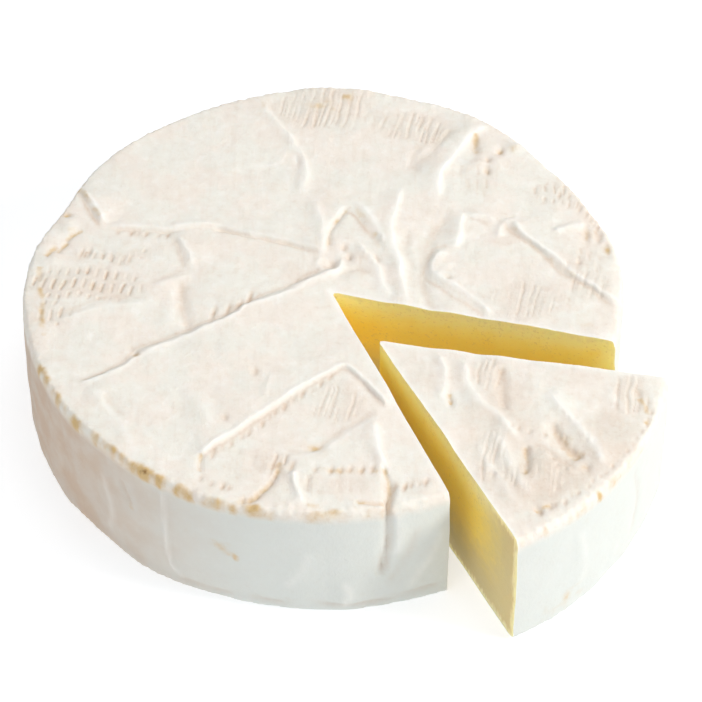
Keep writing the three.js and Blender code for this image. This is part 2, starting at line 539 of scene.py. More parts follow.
# %% Lips and creases
# line, rise, width on the left of the line, width on its right
RIDGES = [
    # Back: a lip from the rim to the arch, and two long lips at the right with steep right sides.
    (
        [(-18, 67.8), (-15.3, 64.4), (-13, 59.4), (-8.7, 52.8), (-6.4, 48.3), (-4.8, 44.4), (-4.5, 38.9),
         (-6, 30)],
        0.4, 0.8, 1.8,
    ),
    ([(-8.5, 49), (-10.3, 46), (-12.5, 43.4), (-17, 43.2), (-20, 44.5)], 0.18, 0.7, 1.0),
    ([(-2, 31), (-1.4, 27), (-0.4, 22), (-0.2, 15), (0, 11)], 0.35, 0.8, 1.8),
    ([(41.5, 58.5), (36.9, 53.3), (34, 48.9), (31.3, 44.4), (29, 40), (28, 34.4), (28, 30)], 0.7, 0.75, 6.0),
    ([(18.3, 36), (18, 30), (16.3, 23.9), (16.9, 17.8), (18, 11), (19, 1.7), (20.3, -6)], 0.75, 0.75, 3.2),
    ([(34, 27), (33.5, 24.4), (32.7, 18.3), (31.3, 12.6)], 0.6, 0.9, 2.6),
    ([(32.4, 56.7), (28, 50), (23.6, 44.4), (21.9, 38)], -0.3, 1.4, 1.0),
    ([(23.8, 51), (22, 46), (21, 40)], -0.25, 1.0, 1.0),
    # Centre: small loops, the ridge inside the arch and the valley between the raised patches.
    ([(-9, -0.3), (-3.5, 2.4), (0.5, 3.6), (3.6, 6.5), (4.2, 9.6), (2.9, 11.8)], 0.45, 0.9, 0.9),
    ([(-1, 11.5), (-1.2, 8), (0.5, 5.5)], 0.35, 0.8, 0.8),
    ([(8.2, 17), (9.6, 13.6), (11.5, 10.3), (13, 6), (14.2, 1), (15.6, -3.5)], 0.45, 0.8, 1.8),
    (ARCH_CREASE, -0.5, 0.7, 0.7),
    ([(3, 3.2), (5, 5.6), (8, 6.8), (11, 4.4)], -0.35, 0.7, 0.7),
    ([(31, 27), (27, 20), (24.4, 12), (23.6, 4), (25, -4), (29, -9)], -0.45, 2.2, 2.8),
    ([(20.2, 21), (20, 14), (20.8, 8), (21.4, 1)], -0.3, 0.8, 0.8),
    ([(32, 8.6), (29.5, 6.8), (27.2, 3.6)], 0.35, 0.8, 0.8),
    ([(44.8, 23.5), (43.3, 21), (42.6, 18)], 0.4, 0.8, 0.8),
    ([(55.5, 19.3), (59.5, 20.8), (64, 21.8)], 0.45, 1.0, 1.4),
    # Left: the dark line to the centre, soft folds and the rubbed rim.
    ([(-52, 20.9), (-38.7, 19.7), (-34, 20)], -0.4, 0.7, 0.7),
    ([(-28, 21), (-23.7, 20), (-16.4, 17.6), (-6.4, 14), (0, 12.4)], -0.5, 0.7, 0.7),
    ([(-37, 20.8), (-32, 21.8), (-27, 22.6)], 0.35, 1.5, 0.9),
    ([(-36, 0), (-36, -8), (-37, -13)], 0.3, 2.0, 1.6),
    ([(-33.6, 3), (-33.6, -6), (-32.3, -13.5)], -0.45, 1.6, 2.0),
    ([(-54, -32), (-51, -36), (-47, -42), (-44.5, -48), (-43, -52)], 0.3, 2.4, 2.2),
    ([(-49.5, -33), (-48.5, -37), (-45.5, -42)], -0.25, 1.6, 1.6),
    (RUBBED_RIM[0], -0.4, 0.6, 0.6),
    (RUBBED_RIM[1], -0.4, 0.6, 0.6),
    (RUBBED_RIM[2], -0.45, 0.6, 0.7),
    ([(-67.3, 6), (-67.8, 2.5)], -0.5, 0.8, 0.8),
    ([(-32, -33), (-27.5, -39), (-25, -45)], 0.2, 1.6, 2.0),
    ([(-12, -28), (-13.6, -36)], 0.18, 0.8, 0.8),
    # Front: the curl of rind, the upright lip and the fold that runs down to the crack in the side.
    (RIND_CURL, -0.35, 0.7, 0.9),
    ([(-2.4, -59), (-2.8, -62), (-3, -65.5)], -0.35, 0.6, 0.6),
    (FRONT_HOOK, -0.4, 0.7, 0.7),
    ([(-6.6, -57.4), (-5.6, -62), (-4.6, -68.8)], 0.8, 0.8, 1.1),
    ([(12.3, -42), (12.9, -50), (14.3, -57), (15.6, -63)], 0.65, 0.8, 2.2),
    ([(13.9, -55.5), (14.6, -60), (15.2, -64), (14.8, -70), (15, -74)], -1.3, 0.8, 0.8),
    (CRACK_BRANCH, -0.5, 0.7, 0.7),
]
# The wedge's own folds, where they lie on the drawn-out wedge.
WEDGE_RIDGES = [
    ([(26.5, -20.5), (28, -24.8), (28.4, -29), (28, -33.2), (27.4, -36.2)], 0.5, 0.7, 1.8),
    (
        [(32.4, -21.6), (33.4, -27.3), (34.6, -32.3), (37.2, -36.9), (40.5, -40.7), (45.8, -49.5)],
        0.65, 0.9, 2.4,
    ),
    ([(41.8, -25), (42, -32), (42.3, -40)], -0.6, 1.4, 1.4),
    ([(48.5, -24), (49.5, -30), (50, -36)], 0.3, 2.2, 2.5),
    ([(52, -32), (57.5, -42.5), (60.7, -47.5), (63.2, -52.3), (64.4, -57.5)], 0.6, 2.2, 1.4),
    ([(52.8, -42), (55.6, -49.5), (59.3, -55)], -0.8, 1.4, 2.4),
    (WEDGE_CRACK, -0.7, 0.7, 1.0),
    ([(47.5, -50.3), (50.5, -50.8), (53, -53.8), (55.5, -55.6), (58, -57)], -0.35, 0.7, 0.7),
    ([(40, -46), (42, -53), (44.5, -60), (48, -66)], 0.35, 1.4, 1.8),
    ([(35, -48), (37.5, -55), (41, -62), (45, -69)], 0.3, 1.4, 1.8),
    ([(66, -33), (69, -38), (71, -44)], 0.25, 1.5, 1.5),
]

# %% Lumps and hollows
# centre, half-widths, rise
LUMPS = [
    ((7.2, 2.2), (4, 3.2), 0.5), ((5.2, 13.9), (0.9, 1.2), -0.55), ((6.3, 11), (0.9, 1.2), -0.6),
    ((1.9, 8.3), (1.0, 1.6), -0.55), ((12.6, 9.6), (0.6, 1.8), -0.45),
    ((29.7, 3.1), (0.7, 0.7), -0.45), ((38, 18), (5, 3.2), -0.4), ((37.7, 50.3), (1.1, 3.6), -0.75),
    ((43.6, 47.8), (0.8, 1.3), -0.8), ((40.8, 44.4), (0.7, 1.0), -0.5),
    ((39.9, 40.6), (0.8, 1.3), -0.55), ((33.7, 41), (0.9, 2.0), -0.3),
    ((38.5, 43.5), (2.0, 1.4), 0.5), ((43, 43.6), (2.0, 2.0), 0.35), ((47.2, 49.0), (1.8, 1.8), 0.6),
    ((63.8, 18.4), (0.9, 3.0), -0.55), ((66.4, 17.6), (1.0, 2.6), -0.7),
    ((68.4, 13.4), (1.0, 2.6), -0.5), ((61.7, 8.6), (0.6, 1.2), -0.45),
    ((-64.5, 9.3), (2.0, 2.2), 0.5), ((-62, 21), (1.6, 1.6), 0.5), ((-62.3, 25.3), (1.3, 0.9), -0.6),
    ((-6.8, 43.9), (0.8, 2.2), -0.3), ((-25.5, 20.6), (2.0, 1.0), -0.3),
    ((-32, -12.8), (2.0, 1.6), -0.35), ((-54.5, -28), (3.0, 1.2), -0.35),
    ((-15.8, -27.5), (0.8, 1.3), -0.42), ((-22, -42), (0.8, 1.2), -0.42),
    ((-43.5, -22), (0.9, 1.0), -0.42), ((-1.5, -51), (2.0, 1.4), -0.45),
]
# The same for the drawn-out wedge.
WEDGE_LUMPS = [
    ((29.6, -36), (0.7, 2.2), -0.7), ((50.5, -55.5), (3.0, 4.0), 0.6),
    ((56.5, -57.6), (1.6, 1.6), 0.5), ((48.5, -69.5), (1.1, 1.6), -0.6),
    ((51.5, -68.3), (0.9, 1.0), -0.5), ((38.8, -59), (0.7, 1.4), -0.45),
    ((60, -57), (1.0, 1.3), -0.6), ((73, -34), (0.8, 1.4), -0.45),
]


def folds(x, y):
    """The relief of all folds; its lines wander a little."""
    wander_x = 0.45 * noise(x, y, 5.0, 11) + 0.15 * noise(x, y, 1.8, 13)
    wander_y = 0.45 * noise(x, y, 5.0, 12) + 0.15 * noise(x, y, 1.8, 14)
    relief = Relief(x + wander_x, y + wander_y)
    for points, rise, edge, reach, lip in STEPS:
        relief.step(points, rise, edge, reach, lip)
    for points, rise, left, right in RIDGES + in_wheel(WEDGE_RIDGES):
        relief.ridge(points, rise, left, right)
    for centre, size, rise in LUMPS + in_wheel(WEDGE_LUMPS):
        relief.dome(centre, size, rise)
    return relief


# %% [markdown]
# ## The mat's ribs
# The wheel drained on a ribbed mat, and its ribs are printed as thin strokes, about 2.4 mm apart. They show
# only in patches. Each patch is a soft oval in which a stripe pattern is broken up by noise: in some patches
# into short strokes, in others into long streaks. Along the plates' edges only dots are left of them.

# %% Rib patches
RIB_PITCH = 2.4
ROW_PITCH = 5.0
RIB_LEAN = 0.24
LONG_DEPTH = 0.6
DOT_WIDTH = 0.55
DOT_SEED = 600
# centre, half-widths, turn in degrees, strength
SHORT_RIBS = [
    ((-57, 1.5), (15, 6), 0, 1.1), ((-64, -8), (5, 4), 0, 0.9), ((-51, 11.5), (9, 2.2), 0, 1.0),
    ((58, 32), (6, 5), 0, 0.7), ((44, 17), (4, 3), 0, 0.6), ((38, 38), (5, 7), 0, 0.45),
    ((-10, -57), (3, 4.5), -20, 0.9), ((62, 8), (5, 9), 0, 0.5),
]
LONG_RIBS = [
    ((-1, 63), (15, 9), 0, 1.1), ((23, 56), (11, 6), -20, 1.0), ((3, -36), (7, 7), 30, 0.9),
    ((-6, 5), (5, 4), 0, 0.6), ((48, -4), (12, 6), -8, 1.0), ((63, 0), (5, 6), 0, 1.0),
    ((2, -62), (13, 4), 0, 0.5), ((-16, -56), (9, 5), 0, 0.5), ((8, 10), (4, 5), 0, 0.5),
]
# The same on the drawn-out wedge.
WEDGE_RIBS = [
    ((38, -27.5), (4.5, 5.5), 0, 1.2), ((39, -54), (6, 9), 0, 0.95), ((49, -60), (9, 7), 0, 0.9),
    ((58, -47), (8, 7), 0, 0.6), ((72, -34), (4, 7), 0, 1.1), ((56, -27), (9, 5), 0, 0.4),
    ((22, -27), (4, 7), 0, 0.5),
]
# Places on the drawn-out wedge that are a little tan all over.
WEDGE_TAN = [
    ((50, -60), (15, 9), 20, 0.45), ((41, -44), (11, 18), 0, 0.25), ((65, -48), (8, 11), -30, 0.35),
]
# Rows of dots: line, pitch, half-length of a dot, strength.
DOT_ROWS = [
    ([(-18, -67), (-15, -66), (-12.6, -63.4), (-10.8, -59.9), (-10, -56)], 1.5, 0.9, 1.2),
    ([(-12.6, -57), (-9, -56), (-6.4, -56.4)], 2.3, 1.6, 1.2),
    ([(62, 28), (65, 23.6), (67, 19)], 2.0, 1.5, 0.9),
    ([(-25.5, -53.4), (-17, -46.6), (-9, -38.6), (-2, -32.8), (2, -29.2)], 2.7, 1.2, 1.0),
    ([(-25.5, -51.6), (-21.5, -52), (-15.6, -53.4), (-11, -54.6)], 2.9, 0.8, 0.8),
    ([(-2, -57.8), (6, -58), (13.5, -58.3)], 2.5, 1.1, 1.2),
    ([(15.8, -62.8), (20, -62.6), (25.5, -61)], 1.9, 1.2, 1.2),
    ([(-28.5, -59.5), (-23.7, -62.2), (-20, -63.6)], 2.7, 1.0, 1.2),
    ([(-50.5, 19.2), (-44, 18.8), (-36, 17.8)], 2.3, 0.9, 1.0),
    ([(-59.5, 12.4), (-54, 12), (-49, 10.6), (-45, 10)], 2.5, 1.5, 1.0),
    ([(-27, -8.6), (-21, -6.6), (-17.8, -3.6), (-13.5, -1.8)], 3.5, 1.9, 1.2),
    ([(-48, -21), (-44, -19.4)], 2.2, 0.8, 0.8),
    ([(54, 36), (58, 36.6)], 2.0, 0.8, 0.7),
    ([(56, 32.6), (60.5, 31)], 2.5, 1.4, 0.9),
]
WEDGE_DOT_ROWS = [
    ([(43.2, -44.4), (47.5, -46), (51.6, -47.4)], 1.9, 0.9, 0.9),
    ([(48, -51.2), (51.8, -52.6), (54, -56.4), (58, -58)], 1.8, 0.7, 0.9),
    (
        [(48.3, -71.2), (55.4, -66.7), (62.5, -60.6), (68.6, -53.5), (73.7, -45.3), (76.8, -38.2)],
        2.2, 0.9, 0.9,
    ),
]


# %% Rib patches and dots
def patch_mask(x, y, patches):
    """How far a place is inside any of the patches, whose edges are uneven."""
    mask = np.zeros_like(x)
    edge_x = x + 2.0 * noise(x, y, 5.0, 21)
    edge_y = y + 2.0 * noise(x, y, 5.0, 22)
    for centre, size, turn, strength in patches:
        c = math.cos(math.radians(turn))
        s = math.sin(math.radians(turn))
        u = ((edge_x - centre[0]) * c + (edge_y - centre[1]) * s) / size[0]
        v = (-(edge_x - centre[0]) * s + (edge_y - centre[1]) * c) / size[1]
        mask = np.maximum(mask, strength * smooth_step(1.15 - np.hypot(u, v), 0.0, 0.5))
    return mask


def rib_masks(x, y):
    """How far a place is inside the patches of short strokes and of long streaks."""
    return patch_mask(x, y, SHORT_RIBS), patch_mask(x, y, LONG_RIBS + in_wheel(WEDGE_RIBS))


def dot_places(points, pitch, seed):
    """Places about one pitch apart along a line, none of them quite even."""
    curve = smooth_curve(points, 0.5)
    gaps = np.hypot(*np.diff(curve, axis=0).T)
    along = np.concatenate([[0.0], np.cumsum(gaps)])
    draw = np.random.default_rng(seed)
    at = np.arange(pitch / 2, along[-1], pitch)
    at = at + 0.25 * pitch * draw.uniform(-1.0, 1.0, len(at))
    places = np.stack([np.interp(at, along, curve[:, 0]), np.interp(at, along, curve[:, 1])], -1)
    return places + 0.3 * draw.uniform(-1.0, 1.0, places.shape), draw.uniform(0.35, 1.0, len(at))


def rib_dots(x, y):
    """The dots that are left of the ribs, each one leaning as the ribs do."""
    dots = np.zeros_like(x)
    for index, (points, pitch, length, strength) in enumerate(DOT_ROWS + in_wheel(WEDGE_DOT_ROWS)):
        for (at_x, at_y), share in zip(*dot_places(points, pitch, DOT_SEED + index)):
            near = np.nonzero((np.abs(x - at_x) < 3.0) & (np.abs(y - at_y) < 4.0))[0]
            gap_y = y[near] - at_y
            gap_x = x[near] - at_x - RIB_LEAN * gap_y
            dot = oval(gap_x, gap_y, (DOT_WIDTH, length * (0.7 + 0.5 * share)))
            dots[near] = np.maximum(dots[near], strength * share * dot)
    return dots


# %% Rib strokes
def rib_strokes(x, y):
    """1 in the middle of a stroke, 0 between strokes, only inside the patches."""
    short, long = rib_masks(x, y)
    # u counts the ribs across and v the rows along them; both wander.
    u = (x - RIB_LEAN * y + 1.0 * noise(x, y, 16.0, 23) + 0.3 * noise(x, y, 3.0, 24)) / RIB_PITCH
    lane = np.floor(u + 0.5)
    v = (y + 0.12 * x + 1.6 * noise(x, y, 14.0, 26)) / ROW_PITCH
    v = v + 0.2 * noise(lane * 3.1, lane, 1.0, 27)
    cell = np.floor(v + 0.5)
    own = smooth_step(noise(lane * 3.7, cell * 5.3, 1.0, 28), -1.3, 0.2)
    stripe = np.clip(np.cos(2.0 * np.pi * u), 0.0, 1.0) ** 1.6
    row = smooth_step(np.cos(2.0 * np.pi * v), -1.0, -0.1)
    streak = smooth_step(noise(lane * 7.3, y, 6.0, 25), -0.6, 0.4)
    second = np.clip(np.cos(2.0 * np.pi * (1.7 * u + 0.3 * noise(x, y, 9.0, 29))), 0.0, 1.0) ** 2
    fine = second * smooth_step(noise(x, y / 4.0, 2.0, 30), -0.2, 0.7)
    dashes = short * stripe * row * own
    streaks = LONG_DEPTH * long * np.maximum(stripe * streak, fine)
    return np.maximum(np.maximum(dashes, streaks), rib_dots(x, y))


# %% [markdown]
# ## Sculpting the rind
# The heights are painted as vertex weights and a Displace modifier pushes the weighted vertices: one
# group for what rises and one for what sinks. It is the same as painting weights by hand, and it leaves a
# plain mesh when it is applied.

# %% Painting and pushing
TOO_LITTLE = 1e-6


def store(piece, name, values):
    """Keeps one value per vertex as an attribute of the mesh."""
    attribute = piece.data.attributes.new(name, "FLOAT", "POINT")
    attribute.data.foreach_set("value", np.ascontiguousarray(values, np.float32))
    return attribute


def paint(piece, name, values):
    """Turns one value per vertex into a vertex group."""
    attribute = store(piece, name, values)
    only(piece)
    piece.data.attributes.active = attribute
    bpy.ops.geometry.attribute_convert(mode="VERTEX_GROUP")


def push(piece, name, amounts, along="NORMAL"):
    """Moves each vertex by its amount in mm, outwards when it is above zero."""
    for word, sign in (("raised", 1.0), ("sunk", -1.0)):
        part = np.clip(sign * amounts, 0.0, None)
        most = part.max()
        if most < TOO_LITTLE:
            continue
        group = name + "_" + word
        paint(piece, group, part / most)
        settings = {"vertex_group": group, "strength": sign * most * MM, "mid_level": 0.0}
        apply_modifier(piece, "DISPLACE", direction=along, **settings)
        piece.vertex_groups.remove(piece.vertex_groups[group])


def top_share(z):
    """1 on the top and its rounded edge, fading out down the side."""
    return smooth_step(z, HEIGHT - 6.0, HEIGHT - 0.6)


# %% Folds, ribs and grain of the top
RIB_DEPTH = 0.32
SINK = 0.4


def grain(x, y):
    """Faint streaks and crumbs that cover the whole top."""
    leaning = x - RIB_LEAN * y
    streaks = noise(leaning / 1.3, y / 9.0, 1.0, 71) * smooth_step(noise(x, y, 11.0, 72), -0.5, 0.5)
    return 0.05 * streaks + 0.05 * noise(x, y, 1.5, 73) + 0.05 * noise(x, y, 2.6, 74)


x, y, z = face_centres(wheel).T
here = folds(x, y)
short, long = rib_masks(x, y)
busy = (np.maximum(here.crest, here.groove) > 0.4) | (rib_dots(x, y) > 0.3)
busy = busy | (short > 0.6) | (long > 0.85)
refine(wheel, busy & (z > HEIGHT - 1.0))

x, y, z = points_of(wheel).T
undulation = 0.30 * noise(x, y, 24.0, 1) + 0.16 * noise(x, y, 9.0, 2) + 0.09 * noise(x, y, 4.5, 3)
heights = folds(x, y).height + undulation + grain(x, y) - RIB_DEPTH * rib_strokes(x, y) - SINK
push(wheel, "folds", heights * top_share(z), "Z")
print("folds from", round(heights.min(), 2), "to", round(heights.max(), 2), "mm")

# %% [markdown]
# ## The side and the base edge
# The side was held by the mould, so it is smoother than the top, with soft upright wrinkles, one thin raised
# seam, and a slack skirt of rind along the base. Here the lines are drawn on the unrolled side: the
# distance around it, and the height.

# %% Side wrinkles
# angle around and height at each point, rise, widths
SIDE_RIDGES = [
    ([(-120.5, 34), (-120, 22), (-119, 8), (-116, 3)], 0.5, 0.5, 0.7),
    ([(-131, 27), (-128, 20.5)], -0.5, 0.6, 0.6),
    ([(-118, 3.6), (-112, 2.6), (-106, 3.8)], -0.4, 0.7, 0.7),
    ([(-78, 36), (-77.5, 28), (-78, 20), (-79, 11)], -1.2, 1.0, 1.2),
    ([(-76.5, 34), (-76, 26), (-76.5, 18)], 0.4, 1.6, 1.2),
    ([(-67, 25), (-70, 15), (-74.5, 5)], 0.30, 2.2, 2.2),
    ([(-72, 28), (-74, 18), (-78, 8)], -0.25, 1.8, 1.8),
    ([(-86, 12), (-85, 7), (-86, 2)], 0.5, 3.0, 2.2),
    ([(-93, 4.2), (-88, 3.2), (-82, 3.0), (-72, 4.0), (-66, 4.6)], -0.45, 0.8, 0.7),
    ([(-104, 4.0), (-99, 3.0), (-95, 4.2)], -0.4, 0.8, 0.8),
    ([(-92, 22), (-94, 14), (-97, 8)], 0.3, 3.0, 2.4),
    ([(-150, 30), (-148, 16), (-150, 4)], -0.4, 2.5, 2.0),
    ([(-136, 26), (-133, 14), (-135, 5)], 0.3, 3.0, 2.5),
    ([(-35, 30), (-33, 18), (-34, 5)], -0.3, 1.5, 1.5),
    ([(-52, 28), (-50, 15), (-51, 6)], 0.25, 2.5, 2.5),
]
ARC = math.pi * RADIUS / 180.0


def side_relief(x, y, z):
    """The height, the crests and the grooves of the side's wrinkles."""
    around = angle_of(x, y) * ARC
    relief = Relief(around, z)
    for points, rise, left, right in SIDE_RIDGES:
        relief.ridge([(angle * ARC, level) for angle, level in points], rise, left, right)
    height = relief.height + 0.32 * noise(around, z, 18.0, 31) + 0.16 * noise(around, z, 6.0, 32)
    height += 0.07 * noise(around, z, 2.6, 33)
    skirt = bell(z - 1.6, 1.6)
    height += skirt * (0.10 + 0.30 * noise(around, np.zeros_like(z), 6.0, 34))
    return height, relief.crest, relief.groove


def rim_bumps(x, y, z):
    """Small knobs along the top edge, where the mat's ribs end."""
    around = angle_of(x, y) * ARC
    ring = bell(np.hypot(x, y) - RADIUS + 1.2, 1.6) * smooth_step(z, HEIGHT - 4.0, HEIGHT - 1.5)
    knobs = 0.17 * noise(around, z, 2.4, 35) + 0.10 * noise(around, z, 1.4, 36)
    return ring * (knobs + 0.06 * np.cos(2.0 * np.pi * around / RIB_PITCH))


x, y, z = points_of(wheel).T
radius = np.hypot(x, y)
side_share = smooth_step(radius, RADIUS - 6.0, RADIUS - 2.5) * smooth_step(HEIGHT - z, 0.5, 4.0)
side_share *= smooth_step(z, 0.0, 0.8)
push(wheel, "side", side_relief(x, y, z)[0] * side_share + rim_bumps(x, y, z))
print("side sculpted")

# %% [markdown]
# ## Cutting the wedge
# The cutter is a prism with its tip where the knife's point went in. It gets small faces, so that the cut
# can be a little uneven. The wheel is cut twice with it: the difference is the wheel with its notch, and
# the intersection is the wedge.

# %% Values of the cutter
CUTTER_REACH = 84.0
CUTTER_BOW = 1.12
CUTTER_CLEAR = 4.0
CUTTER_CELL = 1.0
CUT_SEEDS = (41, 42)
rind = bpy.data.materials.new("bloomy_rind")
paste = bpy.data.materials.new("golden_paste")


# %% The cutter
def make_cutter():
    """A prism with three upright walls, drawn as an outline and extruded upwards."""
    bpy.ops.object.select_all(action="DESELECT")
    bpy.ops.mesh.primitive_plane_add(size=2 * MM, location=(0, 0, -CUTTER_CLEAR * MM))
    cutter = bpy.context.object
    cutter.name = "knife_path"
    bpy.ops.object.transform_apply(location=True, rotation=True, scale=True)
    rays = ((CUT_START, 1.0), ((CUT_START + CUT_END) / 2, CUTTER_BOW), (CUT_END, 1.0))
    corners = [CUT_POINT] + [CUT_POINT + CUTTER_REACH * far * direction(at) for at, far in rays]
    for index, corner in zip(cutter.data.polygons[0].vertices, corners):
        cutter.data.vertices[index].co = (corner[0] * MM, corner[1] * MM, -CUTTER_CLEAR * MM)
    bpy.ops.object.mode_set(mode="EDIT")
    bpy.ops.mesh.select_all(action="SELECT")
    rise = (HEIGHT + 2 * CUTTER_CLEAR) * MM
    bpy.ops.mesh.extrude_region_move(TRANSFORM_OT_translate={"value": (0, 0, rise)})
    bpy.ops.mesh.select_all(action="SELECT")
    bpy.ops.mesh.normals_make_consistent(inside=False)
    bpy.ops.object.mode_set(mode="OBJECT")
    cutter.data.materials.append(paste)
    return cutter


cutter = make_cutter()
apply_modifier(cutter, "REMESH", mode="VOXEL", voxel_size=CUTTER_CELL * MM)
p = points_of(cutter)
for cut, seed in zip(CUTS, CUT_SEEDS):
    along = (p[:, :2] - CUT_POINT) @ direction(cut)
    across = (p[:, :2] - CUT_POINT) @ direction(cut + 90.0)
    on_wall = (np.abs(across) < 0.8) & (along > 2.0)
    amount = 0.10 * noise(along, p[:, 2], 14.0, seed) + 0.05 * noise(along, p[:, 2], 4.0, seed + 9)
    p[:, :2] += (on_wall * amount)[:, None] * direction(cut + 90.0)
move_points(cutter, p)
print("cutter:", len(cutter.data.polygons), "faces")


# %% Cutting
def cut_piece(source, name, operation):
    """A copy of the source, cut with the cutter."""
    piece = source.copy()
    piece.data = source.data.copy()
    piece.name = name
    bpy.context.scene.collection.objects.link(piece)
    apply_modifier(piece, "BOOLEAN", object=cutter, operation=operation, solver="MANIFOLD")
    return piece


only(wheel)
wheel.data.materials.clear()
wheel.data.materials.append(rind)
wheel.name = "whole_wheel"
cheese_wheel = cut_piece(wheel, "cheese_wheel", "DIFFERENCE")
cheese_wedge = cut_piece(wheel, "cheese_wedge", "INTERSECT")
for done in (wheel, cutter):
    bpy.data.objects.remove(done)
for piece in (cheese_wheel, cheese_wedge):
    slots = [slot.material.name if slot.material else None for slot in piece.material_slots]
    print(piece.name, len(piece.data.polygons), "faces, materials", slots)


# %% [markdown]
# ## What each face and vertex is
# The materials need to know a few things that only the modelling knows: how deep under the rind a place
# on the cut face is, where the mat's ribs are, and where the rind is stained. They are worked out from the
# wheel's own coordinates, before the wedge is moved, and stored as attributes on the vertices.

# %% Stains of the rind
# Lines of stain: points, strength, half-width.
STAIN_LINES = [
    (RIND_CURL, 0.4, 1.0),
    (FRONT_HOOK, 0.45, 0.7),
    ([(14.2, -57), (15.2, -64), (14.8, -70), (15, -74)], 0.38, 0.8),
    (CRACK_BRANCH, 0.5, 0.7),
    ([(37.9, 54.5), (37.6, 50.5), (37.7, 46.5)], 0.4, 1.0),
    ([(-59.5, 34.5), (-57.3, 30), (-54, 24)], 0.5, 0.8),
    (ARCH_CREASE, 0.4, 0.6),
    ([(7, 27.3), (9.6, 24), (12.4, 19), (13.5, 13)], 0.3, 1.2),
    (RUBBED_RIM[0], 0.45, 0.7),
    (RUBBED_RIM[1], 0.45, 0.7),
    (RUBBED_RIM[2], 0.55, 0.8),
    ([(-68, 8), (-67.6, 2), (-66.6, -4), (-66.5, -10), (-65, -16)], 0.42, 1.0),
    ([(-50, -27.6), (-54, -29.2), (-57.5, -29.6)], 0.15, 1.6),
    ([(45.4, 21.2), (54, 10.4), (64.7, -1)], 0.22, 0.9),
    ([(4, 67.6), (8, 67)], 0.5, 2.0),
    ([(-2, -58), (6, -58.2), (13.5, -58.5)], 0.35, 1.2),
    ([(-4, -68.6), (0, -68.8)], 0.5, 1.0),
]
# The same on the drawn-out wedge.
WEDGE_STAIN_LINES = [
    ([(29.5, -33.8), (29.7, -38)], 0.6, 0.7),
    (WEDGE_CRACK, 0.42, 0.8),
    ([(53.8, -45), (56, -50), (59, -54.6)], 0.45, 2.0),
    ([(58.6, -57.8), (60.5, -56)], 0.5, 0.8),
    ([(47.6, -70), (52, -68)], 0.45, 0.9),
    ([(73, -35), (75, -40), (74.4, -44)], 0.5, 0.9),
]
# Spots of stain: centre, half-widths, strength.
STAIN_SPOTS = [
    ((47.3, 48.4), (2.0, 1.6), 0.42), ((43.6, 47.6), (1.0, 1.5), 0.4),
    ((39.9, 40.6), (1.4, 1.5), 0.3), ((40.8, 44.4), (1.2, 1.1), 0.28),
    ((63.8, 18.6), (0.9, 2.6), 0.4), ((66.4, 17.8), (1.1, 2.8), 0.5), ((68.6, 13.4), (0.9, 2.4), 0.5),
    ((-61, 20), (1.4, 1.0), 0.4), ((-62.3, 25.3), (1.2, 0.9), 0.5), ((-43.5, -22), (1.3, 1.0), 0.4),
    ((-1.5, -51), (2.0, 1.2), 0.45), ((62, -10), (2.5, 4.0), 0.3), ((-1, 64), (5.0, 4.0), 0.35),
    ((-16, 64), (2.0, 2.5), 0.3), ((-58, 1), (10.0, 3.5), 0.22),
]
# The same on the side: angle around and height, half-widths, strength.
SIDE_SPOTS = [
    ((-109, 20), (3.2, 1.8), 0.42), ((-107, 18.4), (3.0, 1.6), 0.45), ((-105.8, 16.8), (0.8, 0.8), 1.3),
    ((-128, 20.3), (0.8, 0.8), 0.9), ((-54, 5), (7, 3.5), 0.4), ((-140, 22), (6, 4), 0.25),
]
STAIN_BAND = 1.2


# %% How stained each place is
def rim_stain(x, y):
    """Broken ochre dots along the top edge, nearly a line at the front left."""
    angle = angle_of(x, y)
    around = angle * ARC
    level = np.zeros_like(around)
    inside = rim_radius(angle) - np.hypot(x, y) + 0.8 * noise(around, level, 2.2, 53)
    front_left = bell(angle_between(angle, -126.0), 42.0)
    back_left = bell(angle_between(angle, 138.0), 30.0)
    wedge_rim = bell(angle_between(angle, -42.0), 22.0)
    knobs = smooth_step(noise(around, level, 1.5, 55), -0.3, 0.7)
    broken = smooth_step(noise(around, level, 3.0, 51), -0.3, 0.5)
    dotted = (0.12 + 0.3 * wedge_rim + 0.45 * back_left) * broken * (0.2 + 0.8 * knobs)
    dense = front_left * (0.6 + 0.5 * broken) * (0.75 + 0.3 * knobs)
    on_wedge = wedge_rim * bell(inside, STAIN_BAND) * (0.28 + 0.6 * broken * knobs)
    return np.maximum(on_wedge, bell(inside - 0.6, STAIN_BAND) * np.maximum(dotted, dense))


def stain(x, y, z):
    """All the ochre of the top."""
    amount = rim_stain(x, y)
    for points, strength, width in STAIN_LINES + in_wheel(WEDGE_STAIN_LINES):
        near, side, along, length = beside(x, y, points, 3.0 * width)
        line = strength * taper(along, length, 0.8, 0.8) * bell(side, width)
        amount[near] = np.maximum(amount[near], line)
    for centre, size, strength in STAIN_SPOTS:
        amount = np.maximum(amount, strength * oval(x - centre[0], y - centre[1], size))
    amount *= 0.8 + 0.6 * noise(x, y, 1.7, 52)
    return np.clip(amount, 0.0, 1.0) * smooth_step(z, HEIGHT - 5.0, HEIGHT - 2.5)


def side_stain(x, y, z):
    """The few ochre marks lower down on the side."""
    angle = angle_of(x, y)
    amount = np.zeros_like(x)
    for (at, level), size, strength in SIDE_SPOTS:
        spot = oval(angle_between(angle, at) * ARC, z - level, size)
        amount = np.maximum(amount, strength * spot)
    return amount * (0.7 + 0.6 * noise(angle * ARC, z, 2.2, 54)) * smooth_step(HEIGHT - z, 1.0, 3.0)


# %% Attributes
PATCH_TINT = 0.22
CUT_FRINGE = 0.9
WALL_NEAR = 0.9
WALL_FACING = 0.75


